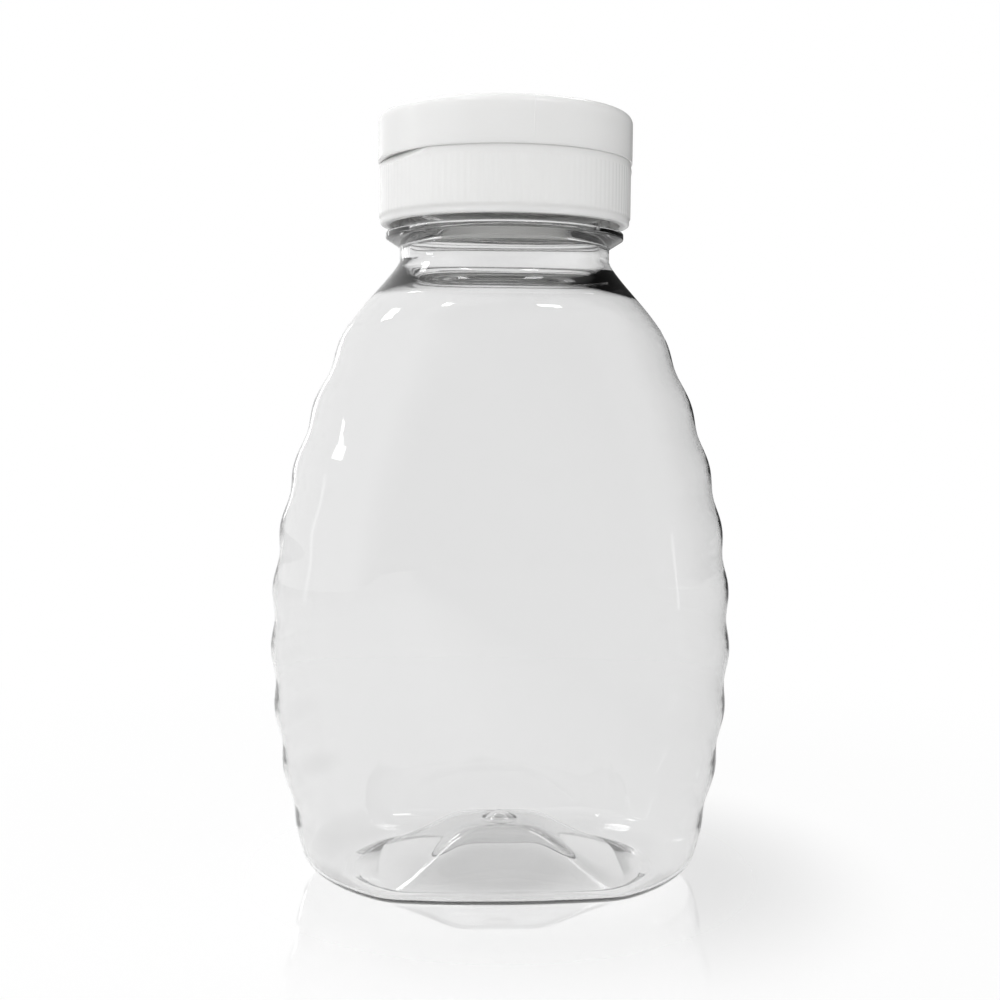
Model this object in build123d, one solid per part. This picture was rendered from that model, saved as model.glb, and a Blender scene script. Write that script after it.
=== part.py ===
from build123d import *
import math
import os

# Clear squeeze honey bottle of the hive kind, with a white flip-top screw closure.
# Lengths are millimetres. The origin is the middle of the face that the bottle stands
# on. +Z is up, X runs across the label panels, and the front panel faces -Y.

# Bottle body: an egg-shaped oval, cut flatter in front and behind for the labels
body_width = 76.6
body_depth = 50.0
egg_depth = 56.6
panel_bow_radius = 120.0
panel_edge_softness = 0.8
widest_height = 40.0
shoulder_height = 90.0
width_drop_shares = (0.312, 0.171)
egg_drop_shares = (0.260, 0.035)
panel_drop_shares = (0.187, 0.068)
body_wall = 0.55
quarter_points = 8

# Scallops along the two sides
scallop_pitch = 10.2
scallop_depth = 0.65
scallop_first_valley = 12.4
scallop_fade_power_share = 6
sections_per_scallop = 6

# Heel and push-up
heel_reach = 5.8
heel_rise = 4.0
heel_steps = 6
base_wall = 0.8
standing_land = 1.6
push_up_height = 9.3
push_up_top_radius = 4.2
gate_nub_radius = 1.6
gate_nub_height = 0.5
push_up_steps = 8
push_up_curve_share = 1.2
push_up_ridge_share = 2.0

# Shoulder, neck and screw finish, a 38 mm size with six threads to the inch
shoulder_rise = 11.6
shoulder_curve_shares = (1.3, 0.45)
shoulder_steps = 9
neck_radius = 17.2
neck_wall = 1.4
neck_draft = 0.1
bead_rise = 4.1
bead_reach = 2.3
bead_edge = 0.9
bead_thickness = 1.9
bead_rounding = 0.3
finish_height = 10.1
finish_step = 0.15
lip_rounding = 0.4
inch = 25.4
threads_per_inch = 6
thread_height = 1.3
thread_base_width = 2.4
thread_turns = 1.5
thread_start_gap = 1.7
thread_flank_share = 0.5
thread_root_embed = 0.3
thread_steps_per_turn = 36
thread_fade_steps = 4

# Closure: screw skirt, deck and spout
closure_gap_over_bead = 1.7
closure_bore_clearance = 0.25
skirt_wall = 1.5
skirt_foot_height = 1.2
rib_count = 120
rib_stand_out = 0.2
rib_depth = 0.22
rib_bed = 0.5
top_band_height = 1.2
skirt_height = 10.1
skirt_foot_rounding = 0.4
liner_thickness = 1.0
liner_bore_clearance = 0.3
deck_thickness = 1.2
plateau_rounding = 0.2
orifice_radius = 3.175
spout_wall = 1.425
spout_height = 2.4
spout_rounding = 0.4
closure_thread_base_width = 1.9
closure_thread_turns = 1.25
closure_thread_start_gap = 1.3
thread_flank_clearance = 0.15
thread_crest_clearance = 0.3

# Thumb scoop under the lid's edge
scoop_chord = 19.0
scoop_depth = 1.1
scoop_height = 2.3

# Lid, which stands a little proud of the skirt
lid_overhang = 0.2
lid_height = 7.8
lid_wall = 1.2
lid_top_thickness = 1.2
lid_crown = 0.35
lid_edge_rounding = 1.4
seam_gap = 0.15
lid_plateau_clearance = 0.25
plug_clearance = 0.225
plug_taper = 0.25
plug_depth = 1.5
plug_shoulder_reach = 0.75
plug_shoulder_gap = 0.2

# Living hinge at the back of the closure, opposite the scoop
hinge_azimuth = 25.0
hinge_axis_gap = 0.3
hinge_flat_depth = 0.7
hinge_pocket_margin = 0.35
web_loop_radius = 0.6
web_thickness = 0.3
web_width = 2.2
strap_loop_radius = 1.3
strap_loop_setback = 0.55
strap_thickness = 0.5
strap_width = 3.6
web_to_strap_gap = 0.7

overrun = 2.0
UPRIGHT = (Align.CENTER, Align.CENTER, Align.MIN)

# Heights that follow from the sizes above
neck_foot_height = shoulder_height + shoulder_rise
bead_top_height = neck_foot_height + bead_rise
lip_height = bead_top_height + finish_height
skirt_foot = bead_top_height + closure_gap_over_bead
ledge_height = skirt_foot + skirt_height
deck_underside = lip_height + liner_thickness
deck_top = deck_underside + deck_thickness
spout_top = deck_top + spout_height
lid_foot = ledge_height + seam_gap

# Points round a section of the body, in four equal quarters
section_points = 4 * quarter_points

# Radii that follow, from the neck outwards
bore_radius = neck_radius - neck_wall
bead_radius = neck_radius + bead_reach
thread_root_radius = neck_radius + finish_step
thread_crest_radius = thread_root_radius + thread_height
thread_pitch = inch / threads_per_inch
closure_bore_radius = thread_crest_radius + closure_bore_clearance
skirt_foot_radius = closure_bore_radius + skirt_wall
rib_crest_radius = skirt_foot_radius + rib_stand_out
lid_radius = rib_crest_radius + lid_overhang
lid_inner_radius = lid_radius - lid_wall
plateau_radius = lid_inner_radius - lid_plateau_clearance
spout_outer_radius = orifice_radius + spout_wall
plug_radius = orifice_radius - plug_clearance
hinge_axis_radius = lid_radius + hinge_axis_gap
hinge_flat_radius = lid_radius - hinge_flat_depth
hinge_pocket_reach = strap_loop_radius + strap_thickness / 2 + hinge_pocket_margin


def drop_share(height, shares):
    """How much smaller the body is at a height than at its widest, as a share."""
    shoulder_share, foot_share = shares
    if height > widest_height:
        reach = (height - widest_height) / (shoulder_height - widest_height)
        return shoulder_share * reach**2
    reach = (widest_height - height) / widest_height
    return foot_share * reach**2


def scallop_inset(height):
    """Depth of the valley between two scallops at a height: arcs that meet in creases."""
    lowest_crest = scallop_first_valley - scallop_pitch / 2
    valleys = math.floor((shoulder_height - lowest_crest) / scallop_pitch)
    if height < lowest_crest or height > lowest_crest + valleys * scallop_pitch:
        return 0
    turn = math.pi * (height - scallop_first_valley) / scallop_pitch
    return scallop_depth * (1 - abs(math.sin(turn)))


def soft_least(first, second):
    """The smaller of two lengths, with the corner between them rounded."""
    total = math.exp(-first / panel_edge_softness) + math.exp(-second / panel_edge_softness)
    return -panel_edge_softness * math.log(total)


def body_outline(height, wall, heel):
    """Points round the egg-shaped body at a height, set in by a wall and by the heel."""
    inset = wall + heel
    half_width = body_width / 2 * (1 - drop_share(height, width_drop_shares)) - inset
    half_egg = egg_depth / 2 * (1 - drop_share(height, egg_drop_shares)) - inset
    half_panel = body_depth / 2 * (1 - drop_share(height, panel_drop_shares)) - inset
    points = []
    for step in range(section_points):
        turn = 2 * math.pi * step / section_points
        side = abs(math.cos(turn)) ** scallop_fade_power_share
        x = (half_width - scallop_inset(height) * side) * math.cos(turn)
        panel = half_panel - x**2 / (2 * panel_bow_radius)
        y = soft_least(half_egg * abs(math.sin(turn)), panel)
        points.append((x, math.copysign(y, math.sin(turn))))
    return points


def round_outline(radius):
    """Points round a circle, in step with those of the body."""
    turns = [2 * math.pi * step / section_points for step in range(section_points)]
    return [(radius * math.cos(turn), radius * math.sin(turn)) for turn in turns]


def outline_wire(points, height):
    """A closed curve through the points at a height, as one smooth edge for each quarter."""
    corners = [(x, y, height) for x, y in [*points, points[0]]]
    ways = [(0, 1, 0), (-1, 0, 0), (0, -1, 0), (1, 0, 0)]
    span = len(points) // len(ways)
    timing = [step / span for step in range(span + 1)]
    edges = []
    for quarter, way in enumerate(ways):
        stretch = corners[quarter * span : (quarter + 1) * span + 1]
        ends = [way, ways[(quarter + 1) % len(ways)]]
        edges.append(Edge.make_spline(stretch, tangents=ends, parameters=timing))
    return Wire(edges)


def skin_loft(wall, floor, neck_radii, neck_top):
    """One smooth skin of the bottle from the heel to the neck, as a closed solid."""
    wires = []
    for step in range(heel_steps):
        bend = math.pi / 2 * step / heel_steps
        height = floor + (heel_rise - floor) * (1 - math.cos(bend))
        draw_in = (heel_reach - floor) * (1 - math.sin(bend))
        wires.append(outline_wire(body_outline(height, wall, draw_in), height))

    spacing = scallop_pitch / sections_per_scallop
    first_step = math.ceil((heel_rise - scallop_first_valley) / spacing)
    last_step = math.floor((shoulder_height - scallop_first_valley) / spacing)
    for step in range(first_step, last_step + 1):
        height = scallop_first_valley + step * spacing
        wires.append(outline_wire(body_outline(height, wall, 0), height))

    foot_radius, top_radius = neck_radii
    power_share, bulge_share = shoulder_curve_shares
    shoulder_outline = body_outline(shoulder_height, wall, 0)
    neck_outline = round_outline(foot_radius)
    for step in range(1, shoulder_steps + 1):
        share = step / shoulder_steps
        weight = (1 - share) ** power_share * (1 + bulge_share * share)
        blend = []
        for (x, y), (neck_x, neck_y) in zip(shoulder_outline, neck_outline):
            blend.append((neck_x + (x - neck_x) * weight, neck_y + (y - neck_y) * weight))
        height = shoulder_height + share * (neck_foot_height - shoulder_height)
        wires.append(outline_wire(blend, height))
    wires.append(outline_wire(round_outline(top_radius), neck_top))
    return Solid.make_loft(wires, ruled=True)


def push_up(growth):
    """The hollow under the base: an oval that draws in to a round top along four ridges."""
    foot_outline = body_outline(0, 0, heel_reach + standing_land - growth)
    top_outline = round_outline(push_up_top_radius + growth)
    wires = []
    for level in range(push_up_steps + 1):
        level_share = level / push_up_steps
        spread_share = 1 - level_share**push_up_curve_share
        power = 2 + push_up_ridge_share * math.sin(math.pi * level_share)
        outline = []
        for (foot_x, foot_y), (top_x, top_y) in zip(foot_outline, top_outline):
            x = top_x + (foot_x - top_x) * spread_share
            y = top_y + (foot_y - top_y) * spread_share
            across, along = abs(x) / math.hypot(x, y), abs(y) / math.hypot(x, y)
            swell = (across**power + along**power) ** (-1 / power)
            outline.append((x * swell, y * swell))
        wires.append(outline_wire(outline, level_share * (push_up_height + growth)))
    return Solid.make_loft(wires, ruled=True)


def turned(profile, roundings):
    """A solid turned about Z from (radius, height) corners, some of them rounded."""
    face = make_face(Polyline(*profile, close=True))
    for corner, radius in roundings:
        vertex = face.vertices().sort_by_distance((*corner, 0))[0]
        face = fillet(vertex, radius)
    return revolve(Plane.XZ * face, Axis.Z)


def thread_ridge(root_radius, crest_radius, base_width, start_height, start_turn, turns):
    """One start of a screw thread whose ends fade into the wall that it stands on."""
    outwards = math.copysign(1, crest_radius - root_radius)
    foot = root_radius - outwards * thread_root_embed
    foot_half = base_width / 2 + thread_flank_share * thread_root_embed
    steps = round(turns * thread_steps_per_turn)
    wires = []
    for step in range(steps + 1):
        rise_share = min(1, (step + 1) / thread_fade_steps, (steps - step + 1) / thread_fade_steps)
        rise = abs(crest_radius - root_radius) * rise_share
        crest = root_radius + outwards * rise
        crest_half = base_width / 2 - thread_flank_share * rise
        turn = step / thread_steps_per_turn
        angle = 2 * math.pi * (start_turn + turn)
        middle = start_height + thread_pitch * turn
        section = [(foot, -foot_half), (crest, -crest_half), (crest, crest_half), (foot, foot_half)]
        corners = [
            (radius * math.cos(angle), radius * math.sin(angle), middle + half)
            for radius, half in section
        ]
        wires.append(Wire.make_polygon(corners, close=True))
    return Solid.make_loft(wires, ruled=True)


def make_bottle():
    """The blow-moulded bottle: body, heel, push-up, neck, bead and screw thread."""
    bead_corner = (bead_radius, bead_top_height - bead_edge)
    bead_rim = (bead_radius, bead_top_height)
    lip_rim = (thread_root_radius, lip_height)
    bead_foot_height = bead_top_height - bead_thickness
    finish = turned(
        [
            (0, bead_foot_height),
            (neck_radius, bead_foot_height),
            bead_corner,
            bead_rim,
            (thread_root_radius, bead_top_height),
            lip_rim,
            (0, lip_height),
        ],
        [(bead_corner, bead_rounding), (bead_rim, bead_rounding), (lip_rim, lip_rounding)],
    )
    thread_foot = bead_top_height + thread_start_gap
    thread = thread_ridge(
        thread_root_radius, thread_crest_radius, thread_base_width, thread_foot, 0, thread_turns
    )
    skin_top = bead_top_height - bead_edge / 2
    outer_radii = (neck_radius, neck_radius - neck_draft)
    outside = skin_loft(0, 0, outer_radii, skin_top) + finish + thread

    inner_radii = (bore_radius + neck_draft, bore_radius - neck_draft)
    hollow = skin_loft(body_wall, base_wall, inner_radii, skin_top) - push_up(base_wall)
    bore_height = lip_height + overrun - neck_foot_height
    bore = Pos(0, 0, neck_foot_height) * Cylinder(bore_radius, bore_height, align=UPRIGHT)
    nub = Cylinder(gate_nub_radius, gate_nub_height + base_wall / 2, align=UPRIGHT)
    gate_nub = Pos(0, 0, push_up_height - gate_nub_height) * nub
    return outside - hollow - bore - push_up(0) + gate_nub


def rib_ring():
    """The fine upright ribs of the skirt, as one ring with a toothed outside."""
    points = []
    for step in range(2 * rib_count):
        radius = rib_crest_radius - rib_depth * (step % 2)
        angle = math.pi * step / rib_count
        points.append((radius * math.cos(angle), radius * math.sin(angle)))
    outside = make_face(Polyline(*points, close=True))
    ring = outside - Circle(rib_crest_radius - rib_depth - rib_bed)
    height = skirt_height - skirt_foot_height - top_band_height
    return Pos(0, 0, skirt_foot + skirt_foot_height) * extrude(ring, height)


def scoop_cutter():
    """What the thumb scoop takes out of the skirt: a crescent, deepest at its middle."""
    half_chord = scoop_chord / 2
    edge_reach = math.sqrt(rib_crest_radius**2 - half_chord**2)
    floor_reach = rib_crest_radius - scoop_depth
    gap = floor_reach - edge_reach
    offset = (half_chord**2 - gap**2) / (2 * gap) - edge_reach
    floor_radius = floor_reach + offset
    block = Cylinder(floor_radius + scoop_depth + overrun, scoop_height, align=UPRIGHT)
    core = Cone(floor_radius + scoop_depth, floor_radius, scoop_height, align=UPRIGHT)
    return Pos(offset, 0, ledge_height - scoop_height) * (block - core)


def hinge_pocket():
    """The flat behind the living hinge, cut into the skirt and the lid alike."""
    return Pos(hinge_flat_radius, 0, ledge_height) * Box(
        lid_radius,
        2 * lid_radius,
        2 * hinge_pocket_reach,
        align=(Align.MIN, Align.CENTER, Align.CENTER),
    )


def make_closure_base():
    """The screw cap: ribbed skirt, deck, spout with its orifice, inner thread and scoop."""
    rib_foot = skirt_foot + skirt_foot_height
    rib_top = ledge_height - top_band_height
    core_radius = rib_crest_radius - rib_depth - rib_bed / 2
    body = turned(
        [
            (closure_bore_radius, skirt_foot),
            (skirt_foot_radius, skirt_foot),
            (skirt_foot_radius, rib_foot),
            (core_radius, rib_foot),
            (core_radius, rib_top),
            (rib_crest_radius, rib_top),
            (rib_crest_radius, ledge_height),
            (plateau_radius, ledge_height),
            (plateau_radius, deck_top),
            (spout_outer_radius, deck_top),
            (spout_outer_radius, spout_top),
            (orifice_radius, spout_top),
            (orifice_radius, deck_underside),
            (closure_bore_radius, deck_underside),
        ],
        [
            ((skirt_foot_radius, skirt_foot), skirt_foot_rounding),
            ((plateau_radius, deck_top), plateau_rounding),
            ((spout_outer_radius, deck_top), spout_rounding),
            ((spout_outer_radius, spout_top), spout_rounding),
        ],
    )
    shaped = (body + rib_ring()) - scoop_cutter() - hinge_pocket()
    flank_meeting = thread_flank_share * (closure_bore_radius - thread_root_radius)
    drop = (thread_base_width + closure_thread_base_width) / 2 - flank_meeting
    start_height = skirt_foot + closure_thread_start_gap
    bottle_start = bead_top_height + thread_start_gap
    along = start_height + drop + thread_flank_clearance - bottle_start
    thread = thread_ridge(
        closure_bore_radius,
        thread_root_radius + thread_crest_clearance,
        closure_thread_base_width,
        start_height,
        along / thread_pitch,
        closure_thread_turns,
    )
    return Rot(0, 0, hinge_azimuth) * shaped + thread


def make_flip_lid():
    """The lid: wall, slightly crowned top and the plug that closes the orifice."""
    top_edge = lid_foot + lid_height - lid_crown
    underside = top_edge - lid_top_thickness
    plug_shoulder_radius = plug_radius + plug_shoulder_reach
    outline = Polyline(
        (0, spout_top - plug_depth),
        (plug_radius - plug_taper, spout_top - plug_depth),
        (plug_radius, spout_top),
        (plug_radius, spout_top + plug_shoulder_gap),
        (plug_shoulder_radius, spout_top + plug_shoulder_gap),
        (plug_shoulder_radius, underside),
        (lid_inner_radius, underside),
        (lid_inner_radius, lid_foot),
        (lid_radius, lid_foot),
        (lid_radius, top_edge),
    )
    crown_radius = (lid_radius**2 + lid_crown**2) / (2 * lid_crown)
    half_reach = lid_radius / 2
    sag = crown_radius - math.sqrt(crown_radius**2 - half_reach**2)
    crown = ThreePointArc(
        (lid_radius, top_edge),
        (half_reach, top_edge + lid_crown - sag),
        (0, top_edge + lid_crown),
    )
    axis_line = Line((0, top_edge + lid_crown), (0, spout_top - plug_depth))
    face = make_face([*outline.edges(), *crown.edges(), *axis_line.edges()])
    corner = face.vertices().sort_by_distance((lid_radius, top_edge, 0))[0]
    lid = revolve(Plane.XZ * fillet(corner, lid_edge_rounding), Axis.Z)
    return Rot(0, 0, hinge_azimuth) * (lid - hinge_pocket())


def hinge_loop(loop_radius, thickness, setback, width, offset):
    """A folded film of the living hinge: two legs and the half turn that joins them."""
    leg = hinge_axis_radius - setback - hinge_flat_radius
    outer = loop_radius + thickness / 2
    inner = loop_radius - thickness / 2
    outside = Circle(outer) + Pos(-leg / 2, 0) * Rectangle(leg, 2 * outer)
    outside -= Pos(-leg - outer / 2, 0) * Rectangle(outer, 2 * outer)
    inside = Circle(inner) + Pos(-leg / 2, 0) * Rectangle(leg, 2 * inner)
    inside += Pos(-leg - outer / 2, 0) * Rectangle(outer, 2 * inner)
    film = extrude(Plane.XZ * (outside - inside), width / 2, both=True)
    place = Pos(hinge_axis_radius - setback, offset, ledge_height + seam_gap / 2)
    return Rot(0, 0, hinge_azimuth) * place * film


def make_hinge_webs():
    """The two thin films of the living hinge, one on each side of the strap."""
    offset = strap_width / 2 + web_to_strap_gap + web_width / 2
    sides = [
        hinge_loop(web_loop_radius, web_thickness, 0, web_width, offset * side)
        for side in (-1, 1)
    ]
    return Compound(children=[film.solid() for film in sides])


def make_snap_strap():
    """The thicker middle strap, whose set-back fold makes the lid snap over."""
    return hinge_loop(strap_loop_radius, strap_thickness, strap_loop_setback, strap_width, 0)


def make_seal_liner():
    """The foam disc between the bottle's lip and the closure's deck."""
    radius = closure_bore_radius - liner_bore_clearance
    return Pos(0, 0, lip_height) * Cylinder(radius, liner_thickness, align=UPRIGHT)


nodes = {
    "bottle": make_bottle(),
    "closure_base": make_closure_base(),
    "flip_lid": make_flip_lid(),
    "hinge_webs": make_hinge_webs(),
    "snap_strap": make_snap_strap(),
    "seal_liner": make_seal_liner(),
}

os.makedirs("parts", exist_ok=True)
for name, shape in nodes.items():
    export_step(shape, f"parts/{name}.step")
    print(name, "volume mm3", round(shape.volume, 1))
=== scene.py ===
import math

import bmesh
import bpy
from mathutils import Matrix, Vector


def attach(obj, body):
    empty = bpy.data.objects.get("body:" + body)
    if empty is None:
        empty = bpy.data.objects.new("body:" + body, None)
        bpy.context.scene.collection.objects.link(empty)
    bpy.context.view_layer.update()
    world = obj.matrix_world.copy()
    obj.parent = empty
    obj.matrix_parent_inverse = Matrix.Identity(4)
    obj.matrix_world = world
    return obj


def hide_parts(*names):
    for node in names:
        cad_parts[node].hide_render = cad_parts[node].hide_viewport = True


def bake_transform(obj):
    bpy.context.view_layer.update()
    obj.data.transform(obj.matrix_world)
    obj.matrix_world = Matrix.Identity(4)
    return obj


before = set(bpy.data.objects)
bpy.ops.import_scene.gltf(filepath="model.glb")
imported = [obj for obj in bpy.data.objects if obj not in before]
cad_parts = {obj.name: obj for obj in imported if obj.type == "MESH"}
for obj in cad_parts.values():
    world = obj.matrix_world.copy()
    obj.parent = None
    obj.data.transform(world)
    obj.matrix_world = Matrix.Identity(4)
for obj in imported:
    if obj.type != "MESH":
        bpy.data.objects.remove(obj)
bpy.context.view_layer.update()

# The view: a camera a little above the middle of the bottle, 24 cm in front of it and just
# off square to the label panel, tipped slightly down and leaning a little to one side. Its
# angles are in radians. Lengths are in millimetres here and up to the lamps.
MM = 0.001
scene = bpy.context.scene
scene.view_settings.view_transform = "Standard"
camera_place = Vector((-0.365, -240.0, 79.3)) * MM
camera_round = -0.0542
camera_tip = 0.0704
camera_lean = 0.0088
camera_lens = 51.92
camera_nearest = 10.0 * MM

camera = bpy.data.objects.new("camera", bpy.data.cameras.new("camera"))
camera.data.lens = camera_lens
camera.data.clip_start = camera_nearest
walked_round = Matrix.Rotation(camera_round, 4, "Z")
tipped = Matrix.Rotation(math.pi / 2 - camera_tip, 4, "X")
leaned = Matrix.Rotation(camera_lean, 4, "Z")
camera.matrix_world = walked_round @ Matrix.Translation(camera_place) @ tipped @ leaned
scene.collection.objects.link(camera)
scene.camera = camera

# Bottle body: an egg-shaped oval of clear PET, blown in one piece, with scalloped sides and
# two smooth, flatter label panels. Its heel rolls in to a narrow ring that it stands on.
body_width = 76.6
body_depth = 50.0
egg_depth = 56.6
panel_bow_radius = 120.0
panel_edge_softness = 0.5
widest_height = 40.0
shoulder_height = 90.0
width_drop_shares = (0.312, 0.171)
egg_drop_shares = (0.260, 0.035)
panel_drop_shares = (0.187, 0.068)
body_wall = 0.55
base_wall = 0.8
scallop_pitch = 10.2
scallop_depth = 0.65
scallop_valley_softness = 0.8
lowest_crest = 7.3
scallop_fade_power = 6
scallops = 8
scallop_steps = 12
heel_reach = 5.8
heel_rise = 4.0
heel_steps = 14
inner_heel_steps = 10
plain_steps = 4
standing_land = 1.6


def drop_share(height, shares):
    """How much smaller the body is at a height than at its widest, as a share."""
    if height > widest_height:
        return shares[0] * ((height - widest_height) / (shoulder_height - widest_height)) ** 2
    return shares[1] * ((widest_height - height) / widest_height) ** 2


def scallop_inset(height):
    """Depth of the valleys between the scallops, which are arcs that meet in soft creases."""
    climb = (height - lowest_crest) / scallop_pitch
    if climb < 0 or climb > scallops:
        return 0
    bulge = math.hypot(math.cos(math.pi * climb), scallop_valley_softness)
    crest = math.hypot(1, scallop_valley_softness)
    return scallop_depth * (crest - bulge) / (crest - scallop_valley_softness)


def body_point(turn, height, inset):
    """Where the body's skin is, this far round and this high, drawn in by an inset."""
    half_width = body_width / 2 * (1 - drop_share(height, width_drop_shares)) - inset
    half_egg = egg_depth / 2 * (1 - drop_share(height, egg_drop_shares)) - inset
    half_panel = body_depth / 2 * (1 - drop_share(height, panel_drop_shares)) - inset
    side = abs(math.cos(turn)) ** scallop_fade_power
    x = (half_width - scallop_inset(height) * side) * math.cos(turn)
    egg = half_egg * abs(math.sin(turn)) / panel_edge_softness
    panel = (half_panel - x**2 / (2 * panel_bow_radius)) / panel_edge_softness
    y = -panel_edge_softness * math.log(math.exp(-egg) + math.exp(-panel))
    return x, math.copysign(y, math.sin(turn))


def body_ring(height, inset):
    """One ring of the body's skin."""
    return lambda turn: (*body_point(turn, height, inset), height)


def round_place(radius, turn, height):
    """A place on a round ring."""
    return (radius * math.cos(turn), radius * math.sin(turn), height)


def round_ring(radius, height):
    """One round ring."""
    return lambda turn: round_place(radius, turn, height)


def spread(count, first=0, last=1):
    """Evenly spaced values from first to last."""
    return [first + (last - first) * step / (count - 1) for step in range(count)]


def heel_rings(count, floor, wall):
    """The rounded heel, from the lowest ring up."""
    rings = []
    for bend in spread(count, 0, math.pi / 2):
        height = floor + (heel_rise - floor) * (1 - math.cos(bend))
        rings.append(body_ring(height, wall + (heel_reach - floor) * (1 - math.sin(bend))))
    return rings


scalloped_rows = range(scallop_steps * scallops + 1)
plain_heights = spread(plain_steps, heel_rise, lowest_crest)[1:-1]
body_heights = [lowest_crest + scallop_pitch * row / scallop_steps for row in scalloped_rows]
outer_body = heel_rings(heel_steps, 0, 0)
outer_body += [body_ring(height, 0) for height in plain_heights + body_heights]
inner_body = heel_rings(inner_heel_steps, base_wall, body_wall)
inner_body += [body_ring(height, body_wall) for height in plain_heights + body_heights[::2]]

# Push-up: the base arches up inside to a small round gate mark, and four ridges run down
# from it to the corners, which lets the bottle stand on its ring alone.
push_up_height = 7.9
push_up_top_radius = 3.1
push_up_curve_share = 1.15
push_up_foot_ease = 0.7
push_up_crown_ease = 0.25
push_up_climb = 1 - (push_up_foot_ease + push_up_crown_ease) / 2
push_up_ridge_power = 9
push_up_ridge_fade = 6
push_up_steps = 31
inner_push_up_steps = 28
gate_radius = 2.6
gate_height = 1.1
gate_dome_power = 1.4
gate_steps = 8
pole_radius = 0.2


def push_up_ring(share, growth):
    """One ring of the push-up, from its oval foot at share 0 to its round top at share 1."""
    reach = 1 - share**push_up_curve_share
    power = 2 + push_up_ridge_power * share * (1 - share**push_up_ridge_fade)
    inset = heel_reach + standing_land - growth
    top_radius = push_up_top_radius + growth / 2
    climb = share - push_up_foot_ease / 2
    if share < push_up_foot_ease:
        climb = share**2 / (2 * push_up_foot_ease)
    if share > 1 - push_up_crown_ease:
        climb = push_up_climb - (1 - share) ** 2 / (2 * push_up_crown_ease)
    height = (push_up_height + growth) * climb / push_up_climb

    def place(turn):
        foot_x, foot_y = body_point(turn, 0, inset)
        across, along = abs(math.cos(turn)), abs(math.sin(turn))
        swell = (across**power + along**power) ** (-1 / power)
        x = top_radius * math.cos(turn) * (1 - reach) + foot_x * reach
        y = top_radius * math.sin(turn) * (1 - reach) + foot_y * reach
        return (x * swell, y * swell, height)

    return place


def gate_rings(growth):
    """The gate mark, a low dome on the push-up's top, from its middle outwards."""
    top = push_up_height + growth
    return [
        round_ring(
            pole_radius + gate_radius * out, top + gate_height * (1 - out**2) ** gate_dome_power
        )
        for out in spread(gate_steps)
    ]


outer_shares = spread(push_up_steps, 1, 0)
outer_base = gate_rings(0) + [push_up_ring(share, 0) for share in outer_shares]
inner_climb = base_wall / (push_up_height + base_wall) * push_up_climb
inner_foot_share = math.sqrt(2 * push_up_foot_ease * inner_climb)
inner_shares = spread(inner_push_up_steps, inner_foot_share, 1)
inner_base = [push_up_ring(share, base_wall) for share in inner_shares]
inner_base += gate_rings(base_wall)[::-1]

# Shoulder, neck and screw finish: the oval draws in to a round neck with a thin bead, and
# above it stands a 38 mm finish with one thread of six to the inch. The blown wall is
# thickest just under the neck, except at the far left.
neck_foot_height = 101.6
thick_wall = 1.75
thick_wall_left_thinning = 0.85
thick_wall_left_power = 8
thick_wall_neck_power = 4
thick_wall_shares = (0.45, 0.84)
front_roll_shares = (0.22, 0.74)
shoulder_curve_shares = (1.3, 0.45)
shoulder_steps = 19
inner_shoulder_steps = 37
neck_radius = 17.2
bore_radius = 15.8
bore_rounding = 0.2
bore_top_gap = 2.0
bore_foot_height = 103.0
bore_steps = 6
bead_radius = 19.5
bead_top_height = 106.3
bead_edge = 1.2
bead_thickness = 2.3
bead_rounding = 0.3
under_bead_fillet = 0.5
under_bead_end = 120
bead_slope_end = -65
over_bead_fillet = 0.3
lip_height = 115.8
lip_rounding = 0.4
finish_foot_gap = 0.4
finish_top_gap = 0.05
finish_steps = 44
thread_root_radius = 17.35
thread_height = 1.3
thread_pitch = 25.4 / 6
thread_base_width = 2.4
thread_turns = 1.5
thread_start_height = 107.4
thread_flank_share = 0.5
thread_fade_turns = 0.1
bottle_steps = 192
weld_distance = 0.0001


def eased(share, first, last):
    """A soft step that goes from 0 at the first share to 1 at the last."""
    grown = min(max((share - first) / (last - first), 0), 1)
    return grown**2 * (3 - 2 * grown)


def shoulder_ring(share, wall):
    """One ring between the body's top at share 0 and the neck's foot at share 1."""
    weight = (1 - share) ** shoulder_curve_shares[0] * (1 + shoulder_curve_shares[1] * share)
    front_weight = 1 - eased(share, *front_roll_shares)
    height = shoulder_height + share * (neck_foot_height - shoulder_height)
    thinned = thick_wall_left_thinning * (1 - share**thick_wall_neck_power)

    def place(turn):
        x, y = body_point(turn, shoulder_height, 0)
        neck_x, neck_y = neck_radius * math.cos(turn), neck_radius * math.sin(turn)
        x, y = neck_x + (x - neck_x) * weight, neck_y + (y - neck_y) * front_weight
        leftward = (0.5 - 0.5 * math.cos(turn)) ** thick_wall_left_power
        kept_wall = wall - max(wall - body_wall, 0) * thinned * leftward
        kept = 1 - kept_wall / math.hypot(x, y)
        return (x * kept, y * kept, height)

    return place


def shoulder_wall(share):
    """How thick the shoulder's wall is: thin like the body, thickest just under the neck."""
    first, last = thick_wall_shares
    grown = eased(share, first, last)
    thinned = max((share - last) / (1 - last), 0)
    neck_wall = neck_radius - bore_radius
    return body_wall + (thick_wall - body_wall) * grown - (thick_wall - neck_wall) * thinned


def thread_rise(turn, height, start_height, start_turn, turns, base_width, rise):
    """How far a screw thread stands off its wall, this far round and this high."""
    most = 0
    for lap in range(-1, 3):
        along = turn / (2 * math.pi) + lap - start_turn
        if 0 <= along <= turns:
            off = abs(height - start_height - thread_pitch * along)
            fade = min(1, along / thread_fade_turns, (turns - along) / thread_fade_turns)
            flank = (base_width / 2 - off) / thread_flank_share
            most = max(most, min(rise * fade, flank))
    return most


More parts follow.
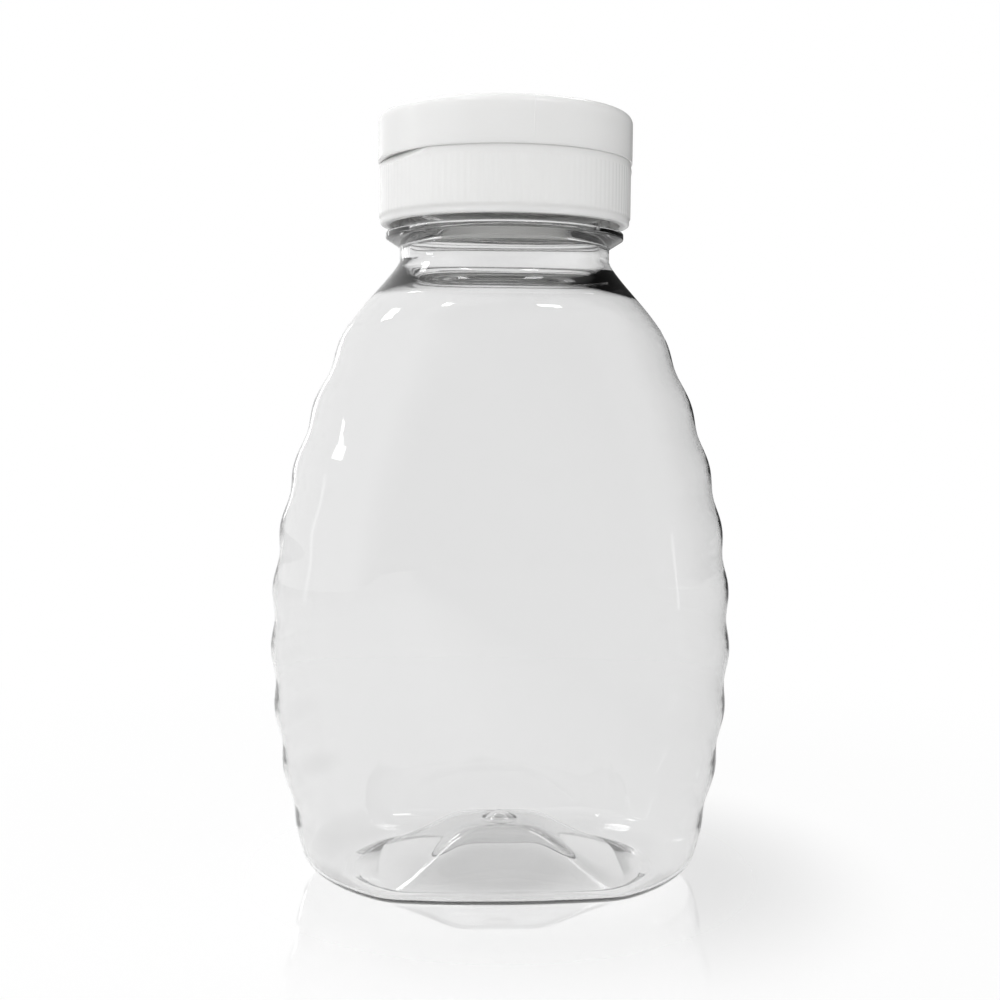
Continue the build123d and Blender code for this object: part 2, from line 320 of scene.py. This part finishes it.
def neck_thread_ring(height):
    """One ring of the screw finish."""

    def place(turn):
        rise = thread_rise(
            turn, height, thread_start_height, 0, thread_turns, thread_base_width, thread_height
        )
        return round_place(thread_root_radius + rise, turn, height)

    return place


def rounded(middle, radius, start, end, count=5):
    """Round rings along an arc, in degrees, that takes off a corner of a turned profile."""
    return [
        round_ring(middle[0] + radius * math.cos(bend), middle[1] + radius * math.sin(bend))
        for bend in spread(count, math.radians(start), math.radians(end))
    ]


bead_out = bead_radius - bead_rounding
bead_foot = bead_top_height - bead_thickness
under_bead = (neck_radius + under_bead_fillet, bead_foot - under_bead_fillet)
bead_low = (bead_out, bead_top_height - bead_edge + bead_rounding)
bead_high = (bead_out, bead_top_height - bead_rounding)
over_bead = (thread_root_radius + over_bead_fillet, bead_top_height + over_bead_fillet)
finish_foot = bead_top_height + finish_foot_gap
finish_top = lip_height - lip_rounding - finish_top_gap
lip_middle = (thread_root_radius - lip_rounding, lip_height - lip_rounding)
bore_middle = (bore_radius + bore_rounding, lip_height - bore_rounding)
bore_heights = spread(bore_steps, lip_height - bore_top_gap, bore_foot_height)
inner_shoulder_shares = spread(inner_shoulder_steps, 1, 0)[:-1]
neck_rings = [shoulder_ring(share, 0) for share in spread(shoulder_steps)[1:]]
neck_rings += rounded(under_bead, under_bead_fillet, 180, under_bead_end)
neck_rings += rounded(bead_low, bead_rounding, bead_slope_end, 0)
neck_rings += rounded(bead_high, bead_rounding, 0, 90)
neck_rings += rounded(over_bead, over_bead_fillet, 270, 180)
neck_rings += [neck_thread_ring(height) for height in spread(finish_steps, finish_foot, finish_top)]
neck_rings += rounded(lip_middle, lip_rounding, 0, 90)
neck_rings += rounded(bore_middle, bore_rounding, 90, 180)
neck_rings += [round_ring(bore_radius, height) for height in bore_heights]
neck_rings += [shoulder_ring(share, shoulder_wall(share)) for share in inner_shoulder_shares]


def placed(name, mesh):
    """A named object from a mesh in the making."""
    data = bpy.data.meshes.new(name)
    mesh.to_mesh(data)
    mesh.free()
    piece = bpy.data.objects.new(name, data)
    scene.collection.objects.link(piece)
    return piece


def finished(name, mesh):
    """A named piece from a mesh in the making, smooth and facing outwards."""
    bmesh.ops.recalc_face_normals(mesh, faces=mesh.faces)
    for face in mesh.faces:
        face.smooth = True
    return placed(name, mesh)


def skin(name, rings, steps, closed=False):
    """A named piece from rings, each a function of the turn that gives a place in mm."""
    levels = rings + rings[:1] if closed else rings
    mesh = bmesh.new()
    bmesh.ops.create_grid(mesh, x_segments=steps, y_segments=len(levels) - 1, size=0.5)
    for vert in mesh.verts:
        level = round((vert.co.y + 0.5) * (len(levels) - 1))
        turn = 2 * math.pi * (round((vert.co.x + 0.5) * steps) % steps) / steps
        vert.co = Vector(levels[level](turn)) * MM
    bmesh.ops.remove_doubles(mesh, verts=mesh.verts, dist=weld_distance * MM)
    bmesh.ops.holes_fill(mesh, edges=[edge for edge in mesh.edges if edge.is_boundary])
    return finished(name, mesh)


bottle_rings = outer_base + outer_body + neck_rings + inner_body[::-1] + inner_base
bottle = skin("clear_bottle", bottle_rings, bottle_steps)
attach(bottle, "bottle")
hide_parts("bottle")

# Clear PET, stretch-blown: glassy and colourless with a trace of grey, and its skin is very
# slightly wavy from the mould, which makes the highlights and edges waver. The thin wall
# lets the lamps' light through to the table and to the cap.
pet_colour = "#F2F2F2"
pet_ior = 1.57
pet_wave_length = 9.0
pet_wave_height = 0.04
pet_shade = "#F9F9F9"


def linear(colour):
    """A written sRGB hex colour as the linear RGBA that a shader takes."""
    parts = [int(colour[place : place + 2], 16) / 255 for place in (1, 3, 5)]
    curve = [part / 12.92 if part <= 0.04045 else ((part + 0.055) / 1.055) ** 2.4 for part in parts]
    return (*curve, 1)


def add(owner, kind, settings, links=()):
    """Adds a node to a material or the world, with its settings and its links from others."""
    node = owner.node_tree.nodes.new(kind)
    for key, value in settings.items():
        if isinstance(key, int) or key in node.inputs:
            node.inputs[key].default_value = value
        else:
            setattr(node, key, value)
    for key, (source, output) in dict(links).items():
        owner.node_tree.links.new(source.outputs[output], node.inputs[key])
    return node


def new_material(name):
    """A material with no nodes yet."""
    material = bpy.data.materials.new(name)
    material.use_nodes = True
    material.node_tree.nodes.clear()
    return material


clear_pet = new_material("stretch_blown_clear_pet")
spot = add(clear_pet, "ShaderNodeTexCoord", {})
wave = add(
    clear_pet,
    "ShaderNodeTexNoise",
    {"Scale": 1 / (pet_wave_length * MM), "Detail": 1.0},
    {"Vector": (spot, "Object")},
)
ripple = add(
    clear_pet,
    "ShaderNodeBump",
    {"Strength": 1.0, "Distance": pet_wave_height * MM},
    {"Height": (wave, "Fac")},
)
pet = add(
    clear_pet,
    "ShaderNodeBsdfPrincipled",
    {
        "Base Color": linear(pet_colour),
        "Roughness": 0.02,
        "IOR": pet_ior,
        "Transmission Weight": 1.0,
    },
    {"Normal": (ripple, "Normal")},
)
path = add(clear_pet, "ShaderNodeLightPath", {})
lamp_light = add(clear_pet, "ShaderNodeBsdfTransparent", {"Color": linear(pet_shade)})
clear = add(
    clear_pet,
    "ShaderNodeMixShader",
    {},
    {"Fac": (path, "Is Shadow Ray"), 1: (pet, "BSDF"), 2: (lamp_light, "BSDF")},
)
add(clear_pet, "ShaderNodeOutputMaterial", {}, {"Surface": (clear, "Shader")})
bottle.data.materials.append(clear_pet)

# Screw cap: white polypropylene, injection moulded, with fine upright ribs on its skirt, a
# plain band under the lid, a spout in its deck, a thread inside and a scoop for the thumb.
hinge_turn = math.radians(25.0)
hinge_facing_share = 0.5
closure_bore_radius = 18.9
skirt_foot = 107.4
skirt_foot_radius = 20.4
skirt_foot_height = 1.2
skirt_foot_rounding = 0.4
skirt_foot_steps = 7
rib_count = 120
rib_crest_radius = 20.6
rib_depth = 0.05
rib_run_in = 0.5
rib_run_out = 0.1
rib_foot_step = 0.05
rib_steps = 8
scooped_rib_steps = 5
ledge_height = 117.5
top_band_height = 1.2
top_band_steps = 6
seam_chamfer = 0.015
deck_underside = 116.82
deck_top = 118.0
deck_rounding = 0.2
plateau_radius = 19.35
spout_outer_radius = 4.6
spout_top = 120.4
spout_rounding = 0.4
orifice_radius = 3.175
orifice_rounding = 0.2
cap_thread_height = 1.25
cap_thread_base_width = 1.9
cap_thread_turns = 1.25
cap_thread_start_gap = 1.3
cap_thread_clearance = 0.15
cap_thread_end_gaps = (0.4, 0.3)
cap_thread_steps = 40
scoop_chord = 19.0
scoop_depth = 1.2
scoop_height = 1.5
hinge_flat_radius = 20.1
pocket_reach = 1.9
seam_gap = 0.15
cap_steps = 720


def flat_limit(turn):
    """How far out the flat behind the hinge lets the wall go."""
    facing = math.cos(turn - hinge_turn)
    return hinge_flat_radius / facing if facing > hinge_facing_share else math.inf


def scoop_limit(turn, height):
    """How far out the thumb scoop lets the wall go: an arc, deeper towards the lid."""
    facing = math.cos(turn - hinge_turn)
    if facing > -hinge_facing_share or height < ledge_height - scoop_height:
        return math.inf
    half_chord = scoop_chord / 2
    floor_reach = rib_crest_radius - scoop_depth
    gap = floor_reach - math.sqrt(rib_crest_radius**2 - half_chord**2)
    offset = (half_chord**2 - gap**2) / (2 * gap) - (floor_reach - gap)
    drop = (ledge_height - height) / scoop_height
    floor_radius = floor_reach + offset + scoop_depth * drop
    across = offset * math.sin(turn - hinge_turn)
    return offset * facing + math.sqrt(floor_radius**2 - across**2)


def skirt_ring(radius, height, ribbed=False):
    """One ring of the cap's outside, cut by the hinge flat and the thumb scoop."""
    pocketed = height > ledge_height - pocket_reach

    def place(turn):
        reach = radius
        if ribbed:
            reach -= rib_depth * (0.5 - 0.5 * math.cos(rib_count * turn))
        if pocketed:
            reach = min(reach, flat_limit(turn))
        return round_place(min(reach, scoop_limit(turn, height)), turn, height)

    return place


def cap_thread_ring(height):
    """One ring of the cap's inner wall, with the thread that grips the bottle's."""
    flanks = thread_flank_share * (closure_bore_radius - thread_root_radius)
    drop = (thread_base_width + cap_thread_base_width) / 2 - flanks + cap_thread_clearance
    start_height = skirt_foot + cap_thread_start_gap
    start_turn = (start_height + drop - thread_start_height) / thread_pitch

    def place(turn):
        rise = thread_rise(
            turn,
            height,
            start_height,
            start_turn,
            cap_thread_turns,
            cap_thread_base_width,
            cap_thread_height,
        )
        return round_place(closure_bore_radius - rise, turn, height)

    return place


rib_foot = skirt_foot + skirt_foot_height
rib_top = ledge_height - top_band_height
scoop_foot = ledge_height - scoop_height
rib_heights = [rib_foot] + spread(rib_steps, rib_foot + rib_run_in, scoop_foot)
rib_heights += spread(scooped_rib_steps, scoop_foot + rib_foot_step, rib_top - rib_run_out)
top_band_heights = spread(top_band_steps, rib_top, ledge_height - seam_chamfer)
cap_thread_top = deck_underside - cap_thread_end_gaps[0]
cap_thread_foot = skirt_foot + cap_thread_end_gaps[1]
cap_thread_heights = spread(cap_thread_steps, cap_thread_top, cap_thread_foot)
foot_corner = (skirt_foot_radius - skirt_foot_rounding, skirt_foot + skirt_foot_rounding)
deck_corner = (plateau_radius - deck_rounding, deck_top - deck_rounding)
spout_root = (spout_outer_radius + spout_rounding, deck_top + spout_rounding)
spout_corner = (spout_outer_radius - spout_rounding, spout_top - spout_rounding)
orifice_corner = (orifice_radius + orifice_rounding, spout_top - orifice_rounding)
cap_rings = [round_ring(closure_bore_radius, skirt_foot)]
cap_rings += rounded(foot_corner, skirt_foot_rounding, -90, 0, skirt_foot_steps)
cap_rings += [skirt_ring(skirt_foot_radius, rib_foot - rib_foot_step)]
cap_rings += [skirt_ring(rib_crest_radius, height, ribbed=True) for height in rib_heights]
cap_rings += [skirt_ring(rib_crest_radius, height) for height in top_band_heights]
cap_rings += [skirt_ring(rib_crest_radius - seam_chamfer, ledge_height)]
cap_rings += [round_ring(plateau_radius, ledge_height)]
cap_rings += rounded(deck_corner, deck_rounding, 0, 90)
cap_rings += rounded(spout_root, spout_rounding, 270, 180)
cap_rings += rounded(spout_corner, spout_rounding, 0, 90)
cap_rings += rounded(orifice_corner, orifice_rounding, 90, 180)
cap_rings += [round_ring(orifice_radius, deck_underside)]
cap_rings += [round_ring(closure_bore_radius, deck_underside)]
cap_rings += [cap_thread_ring(height) for height in cap_thread_heights]
cap = skin("screw_cap", cap_rings, cap_steps, closed=True)
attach(cap, "closure")
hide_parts("closure_base")

# White polypropylene: satin, faintly waxy, with light sinking a little into it, and a faint
# parting line up the lid, a low ridge with a painted highlight: a lighter colour along it. The
# fine grain comes from the mould's spark-finished steel and is drawn coarser than the real one, so
# that it shows.
cap_colour = "#F3F3F2"
mould_grain = 0.25
mould_grain_height = 0.004
light_depth = 1.5
parting_line_across = (0.988, 0.156, 0)
parting_line_half_width = 0.2
parting_line_height = 0.05
parting_line_foot = ledge_height + 1.2
# painted highlight: the parting line's ridge is drawn lighter than the cap, as if catching the
# light
parting_line_highlight_colour = "#FBFBFA"

white_pp = new_material("moulded_white_polypropylene")
spot = add(white_pp, "ShaderNodeTexCoord", {})
grain = add(
    white_pp,
    "ShaderNodeTexNoise",
    {"Scale": 1 / (mould_grain * MM), "Detail": 3.0},
    {"Vector": (spot, "Object")},
)
tooth = add(
    white_pp,
    "ShaderNodeBump",
    {"Strength": 0.6, "Distance": mould_grain_height * MM},
    {"Height": (grain, "Fac")},
)
side_step = add(
    white_pp,
    "ShaderNodeVectorMath",
    {"operation": "DOT_PRODUCT", 1: parting_line_across},
    {0: (spot, "Object")},
)
off_line = add(
    white_pp, "ShaderNodeMath", {"operation": "ABSOLUTE"}, {0: (side_step, "Value")}
)
line = add(
    white_pp,
    "ShaderNodeMapRange",
    {"From Min": 0.0, "From Max": parting_line_half_width * MM, "To Min": 1.0, "To Max": 0.0},
    {"Value": (off_line, "Value")},
)
level = add(white_pp, "ShaderNodeSeparateXYZ", {}, {"Vector": (spot, "Object")})
on_lid = add(
    white_pp,
    "ShaderNodeMath",
    {"operation": "GREATER_THAN", 1: parting_line_foot * MM},
    {0: (level, "Z")},
)
ridge = add(
    white_pp,
    "ShaderNodeMath",
    {"operation": "MULTIPLY"},
    {0: (line, "Result"), 1: (on_lid, "Value")},
)
seam = add(
    white_pp,
    "ShaderNodeBump",
    {"Strength": 1.0, "Distance": parting_line_height * MM},
    {"Height": (ridge, "Value"), "Normal": (tooth, "Normal")},
)
# the cap's colour, with a painted highlight along the parting line
cap_colour_with_line_highlight = add(
    white_pp,
    "ShaderNodeMix",
    {"data_type": "RGBA", "A": linear(cap_colour), "B": linear(parting_line_highlight_colour)},
    {"Factor": (ridge, "Value")},
)
polypropylene = add(
    white_pp,
    "ShaderNodeBsdfPrincipled",
    {
        "Roughness": 0.24,
        "IOR": 1.49,
        "Subsurface Weight": 0.5,
        "Subsurface Radius": (1.0, 1.0, 1.0),
        "Subsurface Scale": light_depth * MM,
    },
    {"Base Color": (cap_colour_with_line_highlight, "Result"), "Normal": (seam, "Normal")},
)
add(white_pp, "ShaderNodeOutputMaterial", {}, {"Surface": (polypropylene, "BSDF")})
cap.data.materials.append(white_pp)

# Flip lid: the same white polypropylene, a shallow cup with a slightly crowned top, a
# rounded edge and a small plug that closes the spout. It stands a little proud of the skirt.
lid_radius = 20.8
lid_wall = 1.2
lid_foot_gap = 0.02
lid_foot_chamfer = 0.05
lid_top_edge = 125.1
lid_crown = 0.35
lid_crown_shares = (0.85, 0.02)
lid_crown_steps = 8
lid_underside = 123.9
lid_inner_rounding = 0.4
lid_inner_top = 123.0
lid_inner_steps = 4
lid_edge_rounding = 1.4
lid_edge_end = 87
lid_edge_steps = 12
lid_wall_steps = (5, 6)
lid_wall_top_gap = 0.2
pocket_edge = 0.02
plug_radius = 2.95
plug_tip_radius = 2.7
plug_tip_chamfer = 0.2
plug_depth = 1.5
plug_seat_gap = 0.2
plug_shoulder_radius = 3.7
plug_root_gap = 0.05
lid_steps = 256


def lid_ring(radius, height):
    """One ring of the lid's outside, cut by the flat behind the hinge."""
    pocketed = height < ledge_height + pocket_reach

    def place(turn):
        return round_place(min(radius, flat_limit(turn)) if pocketed else radius, turn, height)

    return place


lid_foot = ledge_height + lid_foot_gap
lid_inner_radius = lid_radius - lid_wall
plug_tip = spout_top - plug_depth
plug_seat = spout_top + plug_seat_gap
pocket_top = ledge_height + pocket_reach
inner_corner = (lid_inner_radius - lid_inner_rounding, lid_underside - lid_inner_rounding)
edge_middle = (lid_radius - lid_edge_rounding, lid_top_edge - lid_edge_rounding)
inner_heights = spread(lid_inner_steps, lid_inner_top, lid_foot + lid_foot_chamfer)
wall_heights = spread(lid_wall_steps[0], lid_foot + seam_chamfer, pocket_top - pocket_edge)
wall_top = edge_middle[1] - lid_wall_top_gap
wall_heights += spread(lid_wall_steps[1], pocket_top + pocket_edge, wall_top)
lid_rings = [round_ring(pole_radius, plug_tip)]
lid_rings += [round_ring(plug_tip_radius - plug_tip_chamfer, plug_tip)]
lid_rings += [round_ring(plug_tip_radius, plug_tip + plug_tip_chamfer)]
lid_rings += [round_ring(plug_radius, spout_top), round_ring(plug_radius, plug_seat)]
lid_rings += [round_ring(plug_shoulder_radius, plug_seat)]
lid_rings += [round_ring(plug_shoulder_radius, lid_underside - plug_root_gap)]
lid_rings += rounded(inner_corner, lid_inner_rounding, 90, 0)
lid_rings += [round_ring(lid_inner_radius, height) for height in inner_heights]
lid_rings += [lid_ring(lid_inner_radius + lid_foot_chamfer, lid_foot)]
lid_rings += [lid_ring(lid_radius - seam_chamfer, lid_foot)]
lid_rings += [lid_ring(lid_radius, height) for height in wall_heights]
lid_rings += rounded(edge_middle, lid_edge_rounding, 0, lid_edge_end, lid_edge_steps)
for share in spread(lid_crown_steps, *lid_crown_shares):
    lid_rings.append(round_ring(edge_middle[0] * share, lid_top_edge + lid_crown * (1 - share**2)))
lid = skin("flip_top", lid_rings, lid_steps)
lid.data.materials.append(white_pp)
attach(lid, "lid")
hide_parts("flip_lid")

# Living hinge: two thin films and a thicker snap strap between them, moulded in one with
# the cap and the lid and folded in a loop behind the seam.
hinge_axis_radius = 21.1
hinge_axis_height = ledge_height + seam_gap / 2
web_loop_radius = 0.6
web_thickness = 0.3
web_width = 2.2
web_offset = 3.6
strap_loop_radius = 1.3
strap_setback = 0.55
strap_thickness = 0.5
strap_width = 3.6
film_steps = 48
film_rows = 6
hinge_turned = Matrix.Rotation(hinge_turn, 4, "Z")


def hinge_film(name, node, loop_radius, setback, thickness, width, offset):
    """One folded film: a leg out of the cap, a half turn, and a leg back into the lid."""
    middle = hinge_axis_radius - setback
    leg = middle - hinge_flat_radius + thickness
    half_turn = math.pi * loop_radius
    length = 2 * leg + half_turn
    mesh = bmesh.new()
    bmesh.ops.create_grid(mesh, x_segments=film_steps, y_segments=film_rows, size=0.5)
    for vert in mesh.verts:
        along = (vert.co.x + 0.5) * length
        bend = min(max((along - leg) / loop_radius, 0), math.pi) - math.pi / 2
        out = middle + loop_radius * math.cos(bend) - max(leg - along, along - leg - half_turn, 0)
        place = (out, offset + vert.co.y * width, hinge_axis_height + loop_radius * math.sin(bend))
        vert.co = Vector(place) * MM
    bmesh.ops.solidify(mesh, geom=mesh.faces, thickness=thickness * MM)
    mesh.transform(hinge_turned)
    film = finished(name, mesh)
    film.data.materials.append(white_pp)
    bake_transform(film)
    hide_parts(node)


web = (web_loop_radius, 0, web_thickness, web_width)
strap = (strap_loop_radius, strap_setback, strap_thickness, strap_width)
hinge_film("left_hinge_web", "hinge_webs", *web, web_offset)
hinge_film("right_hinge_web", "hinge_webs", *web, -web_offset)
hinge_film("hinge_snap_strap", "snap_strap", *strap, 0)

# Seal: a thin disc of foamed polyethylene, punched from sheet, pressed in under the deck.
# It is off-white and dull, and can hardly be seen while the cap is on.
foam_colour = "#F1F1EE"

foam = new_material("foamed_polyethylene_sheet")
foam_settings = {"Base Color": linear(foam_colour), "Roughness": 0.6}
foamed = add(foam, "ShaderNodeBsdfPrincipled", foam_settings)
add(foam, "ShaderNodeOutputMaterial", {}, {"Surface": (foamed, "BSDF")})
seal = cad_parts["seal_liner"]
seal.data.materials.clear()
seal.data.materials.append(foam)

# Table: white acrylic that fades into a white sweep. Right under the bottle it carries a painted
# shadow, greyer and with less of its white glow, and it is polished there, so that it mirrors the
# bottle's foot. At the front right it carries painted shade that only the plastic's reflections
# see, so what the plastic mirrors of the table there is dark.
table_radius = 3000.0
table_colour = "#F4F4F4"
# painted shade, seen only in what the plastic mirrors of the table at the front right
table_mirrored_shade_colour = "#5A5A5A"
# colour of the painted shadow right under the bottle
table_shade_colour = "#8A8A8A"
sweep_reach = (50.0, 200.0)
shade_reach = (10.0, 25.0)
mirrored_shade_reach = (20.0, 120.0)
mirrored_shade_way = (0.95, -0.3, 0.0)
polish_reach = (20.0, 70.0)

table_mesh = bmesh.new()
bmesh.ops.create_circle(table_mesh, cap_ends=True, segments=96, radius=table_radius * MM)
table_top = placed("table_top", table_mesh)

table = new_material("white_acrylic_table")
path = add(table, "ShaderNodeLightPath", {})
seen = add(
    table,
    "ShaderNodeMath",
    {"operation": "ADD", "use_clamp": True},
    {0: (path, "Is Camera Ray"), 1: (path, "Is Transmission Ray")},
)
spot = add(table, "ShaderNodeTexCoord", {})
away = add(table, "ShaderNodeVectorMath", {"operation": "LENGTH"}, {0: (spot, "Object")})
sweep = add(
    table,
    "ShaderNodeMapRange",
    {
        "interpolation_type": "SMOOTHSTEP",
        "From Min": sweep_reach[0] * MM,
        "From Max": sweep_reach[1] * MM,
        "To Min": 0.9,
        "To Max": 1.0,
    },
    {"Value": (away, "Value")},
)
# painted shadow under the bottle: it darkens the table's colour and takes away some of its white
# glow
painted_shadow = add(
    table,
    "ShaderNodeMapRange",
    {
        "From Min": shade_reach[0] * MM,
        "From Max": shade_reach[1] * MM,
        "To Min": 0.5,
        "To Max": 0.0,
    },
    {"Value": (away, "Value")},
)
open_sweep = add(
    table,
    "ShaderNodeMath",
    {"operation": "SUBTRACT"},
    {0: (sweep, "Result"), 1: (painted_shadow, "Result")},
)
share = add(
    table,
    "ShaderNodeMath",
    {"operation": "MULTIPLY"},
    {0: (seen, "Value"), 1: (open_sweep, "Value")},
)
front_right_way = add(
    table,
    "ShaderNodeVectorMath",
    {"operation": "DOT_PRODUCT", 1: mirrored_shade_way},
    {0: (spot, "Object")},
)
mirrored_shade_spread = add(
    table,
    "ShaderNodeMapRange",
    {
        "From Min": mirrored_shade_reach[0] * MM,
        "From Max": mirrored_shade_reach[1] * MM,
        "To Min": 0.0,
        "To Max": 1.0,
    },
    {"Value": (front_right_way, "Value")},
)
# painted shade for reflections only: the table's front right goes dark for glossy rays
mirrored_shade = add(
    table,
    "ShaderNodeMath",
    {"operation": "MULTIPLY"},
    {0: (mirrored_shade_spread, "Result"), 1: (path, "Is Glossy Ray")},
)
painted = add(
    table,
    "ShaderNodeMix",
    {"data_type": "RGBA", "A": linear(table_colour), "B": linear(table_mirrored_shade_colour)},
    {"Factor": (mirrored_shade, "Value")},
)
shaded = add(
    table,
    "ShaderNodeMix",
    {"data_type": "RGBA", "B": linear(table_shade_colour)},
    {"Factor": (painted_shadow, "Result"), "A": (painted, "Result")},
)
acrylic = add(
    table, "ShaderNodeBsdfPrincipled", {"Roughness": 0.5}, {"Base Color": (shaded, "Result")}
)
glow = add(table, "ShaderNodeEmission", {"Color": (1, 1, 1, 1), "Strength": 1.0})
lit = add(
    table,
    "ShaderNodeMixShader",
    {},
    {"Fac": (share, "Value"), 1: (acrylic, "BSDF"), 2: (glow, "Emission")},
)
polish = add(
    table,
    "ShaderNodeMapRange",
    {
        "interpolation_type": "SMOOTHSTEP",
        "From Min": polish_reach[0] * MM,
        "From Max": polish_reach[1] * MM,
        "To Min": 0.38,
        "To Max": 0.0,
    },
    {"Value": (away, "Value")},
)
shown_polish = add(
    table,
    "ShaderNodeMath",
    {"operation": "MULTIPLY"},
    {0: (polish, "Result"), 1: (path, "Is Camera Ray")},
)
mirror = add(table, "ShaderNodeBsdfGlossy", {"Color": (1, 1, 1, 1), "Roughness": 0.04})
mixed = add(
    table,
    "ShaderNodeMixShader",
    {},
    {"Fac": (shown_polish, "Value"), 1: (lit, "Shader"), 2: (mirror, "BSDF")},
)
add(table, "ShaderNodeOutputMaterial", {}, {"Surface": (mixed, "Shader")})
table_top.data.materials.append(table)

# Room: white where the camera looks straight at it. What the plastic mirrors is dim behind
# the camera and to the right, and what shows through the plastic is dim towards the ceiling
# at the right.
ceiling_way = (0.6, 0.0, 0.8)

world = bpy.data.worlds.new("studio")
world.use_nodes = True
scene.world = world
world.node_tree.nodes.clear()
path = add(world, "ShaderNodeLightPath", {})
way = add(world, "ShaderNodeTexCoord", {})
parts = add(world, "ShaderNodeSeparateXYZ", {}, {"Vector": (way, "Generated")})
behind = add(
    world,
    "ShaderNodeMapRange",
    {"From Min": -0.92, "From Max": -0.5, "To Min": 0.05, "To Max": 1.0},
    {"Value": (parts, "Y")},
)
right = add(
    world,
    "ShaderNodeMapRange",
    {"From Min": 0.0, "From Max": 0.25, "To Min": 1.0, "To Max": 0.05},
    {"Value": (parts, "X")},
)
front_right = add(
    world,
    "ShaderNodeMapRange",
    {"From Min": -0.1, "From Max": 0.25, "To Min": 0.6, "To Max": 0.0},
    {"Value": (parts, "Y")},
)
dark_side = add(
    world,
    "ShaderNodeMath",
    {"operation": "MAXIMUM"},
    {0: (right, "Result"), 1: (front_right, "Result")},
)
room_light = add(
    world,
    "ShaderNodeMath",
    {"operation": "MULTIPLY"},
    {0: (behind, "Result"), 1: (dark_side, "Value")},
)
lean = add(
    world,
    "ShaderNodeVectorMath",
    {"operation": "DOT_PRODUCT", 1: ceiling_way},
    {0: (way, "Generated")},
)
ceiling = add(
    world,
    "ShaderNodeMapRange",
    {"From Min": 0.25, "From Max": 0.75, "To Min": 1.0, "To Max": 0.22},
    {"Value": (lean, "Value")},
)
mirrored_room = add(
    world, "ShaderNodeBackground", {"Color": (1, 1, 1, 1)}, {"Strength": (room_light, "Value")}
)
room_through = add(
    world, "ShaderNodeBackground", {"Color": (1, 1, 1, 1)}, {"Strength": (ceiling, "Result")}
)
white = add(world, "ShaderNodeBackground", {"Color": (1, 1, 1, 1), "Strength": 1.0})
bent = add(
    world,
    "ShaderNodeMixShader",
    {},
    {
        "Fac": (path, "Is Transmission Ray"),
        1: (mirrored_room, "Background"),
        2: (room_through, "Background"),
    },
)
straight = add(
    world,
    "ShaderNodeMixShader",
    {},
    {"Fac": (path, "Is Camera Ray"), 1: (bent, "Shader"), 2: (white, "Background")},
)
add(world, "ShaderNodeOutputWorld", {}, {"Surface": (straight, "Shader")})

# Lamps: small soft boxes in front, at the left and behind, which the plastic mirrors as its
# highlights, thin strips along its sides, and two broad fills that it doesn't mirror. Their
# angles are in degrees, their distances and sizes in metres, and their power in watts.
lamp_aim = Vector((0, 0, 80.0)) * MM


def soft_box(name, azimuth, elevation, distance, size, power, mirrored=True):
    """A lamp that points at the bottle, with azimuth 0 on the camera's side."""
    data = bpy.data.lights.new(name, "AREA")
    data.shape = "RECTANGLE"
    data.size, data.size_y = size
    data.energy = power
    lamp = bpy.data.objects.new(name, data)
    round_way, up_way = math.radians(azimuth), math.radians(elevation)
    outward = Vector((math.sin(round_way), -math.cos(round_way), math.tan(up_way)))
    lamp.location = lamp_aim + outward.normalized() * distance
    lamp.rotation_euler = (-outward).to_track_quat("-Z", "Y").to_euler()
    lamp.visible_camera = False
    lamp.visible_glossy = mirrored
    lamp.visible_transmission = mirrored
    scene.collection.objects.link(lamp)


soft_box("left_front_lamp", -45, 50, 0.6, (0.08, 0.1), 0.22)
soft_box("right_front_lamp", 26, 42, 0.6, (0.14, 0.12), 0.42)
soft_box("left_high_lamp", -97, 33.5, 0.7, (0.12, 0.06), 0.18)
soft_box("left_low_lamp", -92, 15.8, 0.7, (0.12, 0.03), 0.055)
soft_box("left_strip", -98, -2, 0.6, (0.03, 0.25), 0.012)
soft_box("right_strip", 78, -2, 0.6, (0.02, 0.12), 0.006)
soft_box("left_rear_strip", -152, 8, 0.6, (0.03, 0.2), 0.04)
soft_box("right_rear_lamp", 150, 55, 0.7, (0.25, 0.12), 0.5)
soft_box("left_rear_lamp", -148, 52, 0.7, (0.16, 0.1), 0.5)
soft_box("front_fill", 3, 24, 0.8, (0.6, 0.6), 1.15, mirrored=False)
soft_box("overhead_fill", -20, 80, 0.9, (0.6, 0.6), 0.25, mirrored=False)

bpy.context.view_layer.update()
